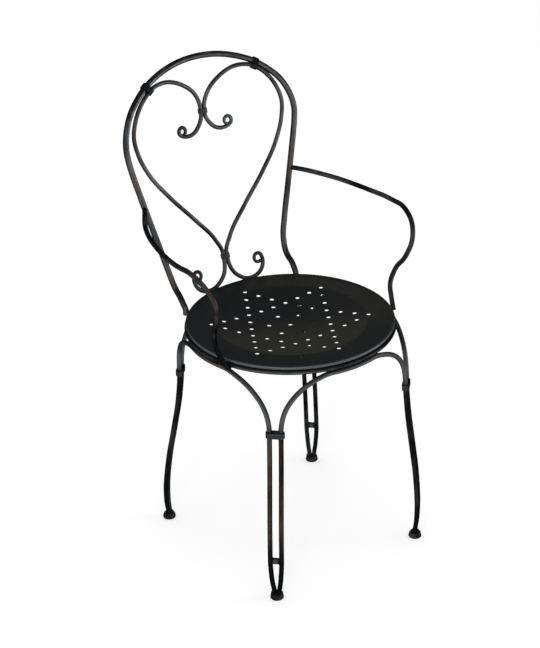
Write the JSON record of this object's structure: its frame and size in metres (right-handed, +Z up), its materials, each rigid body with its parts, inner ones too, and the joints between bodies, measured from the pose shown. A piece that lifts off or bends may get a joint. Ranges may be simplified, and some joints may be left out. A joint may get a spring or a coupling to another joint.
{
  "type": "garden_armchair",
  "caption": "Garden armchair of bent round steel bar: round pressed seat with a star of holes, leaning hoop back with a scrolled heart, slim arms and splayed legs on round pads",
  "frame": {"origin": "on the floor under the middle of the chair's overall box", "axes": "+X to the right as seen from the front, -Y to the front, +Z up"},
  "size_m": [0.5036, 0.5039, 0.9219],
  "materials": {
    "bars": "satin black paint, worn to brown in places",
    "fittings": "satin black paint",
    "seat_sheet": "satin black paint with an olive cast where it is worn"
  },
  "bodies": {
    "root": {"back_hoop": "bars", "heart_bar_left": "bars", "heart_bar_right": "bars", "hoop_collar_left": "fittings", "hoop_collar_right": "fittings", "heart_tie_upper": "fittings", "heart_tie_lower": "fittings", "arm_left": "bars", "arm_right": "bars", "seat_pan": "seat_sheet", "seat_ring": "bars", "leg_arch_front": "bars", "leg_arch_right": "bars", "leg_arch_back": "bars", "leg_arch_left": "bars", "leg_collar_front_left": "fittings", "leg_collar_front_right": "fittings", "leg_collar_back_left": "fittings", "leg_collar_back_right": "fittings", "leg_bridge_front_left": "fittings", "leg_bridge_front_right": "fittings", "leg_bridge_back_left": "fittings", "leg_bridge_back_right": "fittings", "foot_front_left": "fittings", "foot_front_right": "fittings", "foot_back_left": "fittings", "foot_back_right": "fittings"}
  },
  "joints": []
}
